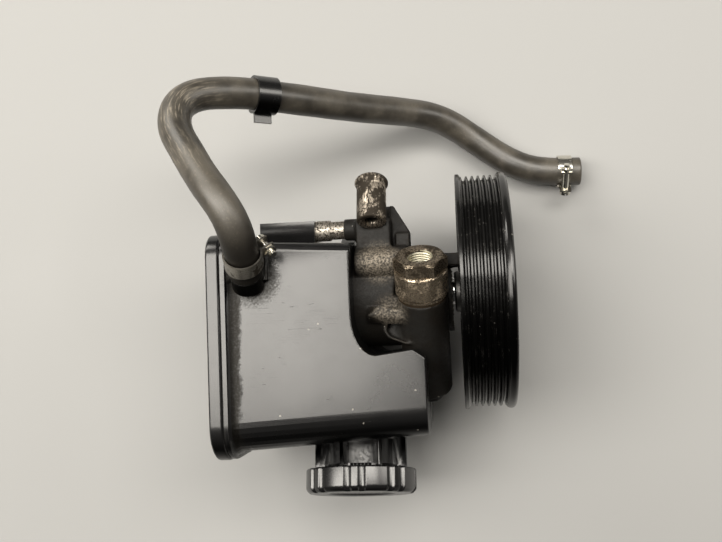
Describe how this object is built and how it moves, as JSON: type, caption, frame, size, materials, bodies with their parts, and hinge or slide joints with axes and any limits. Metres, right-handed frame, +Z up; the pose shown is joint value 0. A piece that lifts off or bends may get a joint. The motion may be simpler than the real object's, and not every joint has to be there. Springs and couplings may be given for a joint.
{
  "type": "power steering pump",
  "caption": "Vane-type power steering pump with a ribbed belt pulley, a wrap-round plastic oil reservoir with filler cap, an outlet union and a clamped return hose.",
  "frame": {"origin": "on the shaft axis, in the middle plane of the belt grooves", "axes": "+X along the shaft out through the pulley, +Y towards the hose side, +Z up as the pump lies on a table"},
  "size_m": [0.252, 0.2617, 0.1705],
  "materials": {
    "cast_alloy": "oil-darkened sand-cast alloy",
    "bearing_steel": "ground",
    "hardened_steel": "lapped",
    "pulley_black": "gloss black coating",
    "yellow_zinc": "yellow zinc with grime",
    "stained_alloy": "bare and stained",
    "black_plastic": "satin moulded",
    "cap_plastic": "satin moulded",
    "hose_rubber": "scuffed",
    "seal_rubber": "smooth",
    "bronze": "sintered",
    "copper": "dull",
    "zinc_steel": "zinc plated, tarnished"
  },
  "bodies": {
    "casing": {"pump_housing": "cast_alloy", "front_bearing_outer_race": "bearing_steel", "bearing_circlip": "hardened_steel", "shaft_seal": "seal_rubber", "front_side_plate": "hardened_steel", "cam_ring": "hardened_steel", "pressure_plate": "hardened_steel", "cartridge_dowels": "bearing_steel", "preload_spring": "hardened_steel", "end_cap": "hardened_steel", "end_cap_o_ring": "seal_rubber", "end_cap_retainer": "hardened_steel", "rear_bush": "bronze", "flow_valve_spring": "hardened_steel", "outlet_union": "yellow_zinc", "outlet_washer": "copper", "outlet_seat": "bronze", "return_spigot": "stained_alloy", "reservoir_body": "black_plastic", "reservoir_rear_cover": "black_plastic", "reservoir_o_ring": "seal_rubber", "reservoir_bolt": "zinc_steel", "reservoir_bolt_sleeve": "zinc_steel", "return_hose": "hose_rubber", "hose_clip": "cap_plastic", "tank_clamp": "zinc_steel", "tank_clamp_screw": "zinc_steel", "end_clamp": "zinc_steel", "end_clamp_screw": "zinc_steel"},
    "rotating_group": {"drive_shaft": "bearing_steel", "pulley_hub": "hardened_steel", "pulley": "pulley_black", "pulley_bolts": "zinc_steel", "rotor": "hardened_steel", "vanes": "hardened_steel", "front_bearing_inner_race": "bearing_steel"},
    "ball_set": {"front_bearing_balls": "bearing_steel"},
    "cap_seal": {"cap_gasket": "seal_rubber"},
    "cap": {"filler_cap": "cap_plastic", "dipstick": "cap_plastic"},
    "valve_spool": {"flow_valve_spool": "bearing_steel"}
  },
  "joints": [
    {"name": "shaft_spin", "type": "hinge", "parent": "casing", "child": "rotating_group", "pos_m": [0, 0, 0], "axis": [1, 0, 0], "continuous": true},
    {"name": "ball_orbit", "type": "hinge", "parent": "casing", "child": "ball_set", "pos_m": [-0.0273, 0, 0], "axis": [1, 0, 0], "continuous": true},
    {"name": "cap_lift", "type": "slide", "parent": "casing", "child": "cap_seal", "axis": [0, -0.9703, 0.2419], "range_m": [0, 0.005]},
    {"name": "cap_turn", "type": "hinge", "parent": "cap_seal", "child": "cap", "pos_m": [-0.079, -0.10867, 0.0031], "axis": [0, -0.9703, 0.2419], "range_deg": [0, 360]},
    {"name": "valve_stroke", "type": "slide", "parent": "casing", "child": "valve_spool", "axis": [0, -0.848, -0.5299], "range_m": [0, 0.006], "stiffness_N_per_m": 400, "springref_m": -0.004, "deforming": ["flow_valve_spring"]}
  ],
  "couplings": [
    {"joint": "ball_orbit", "follows": "shaft_spin", "ratio": 0.39231},
    {"joint": "cap_lift", "follows": "cap_turn", "m_per_rad": 0.00079577}
  ]
}
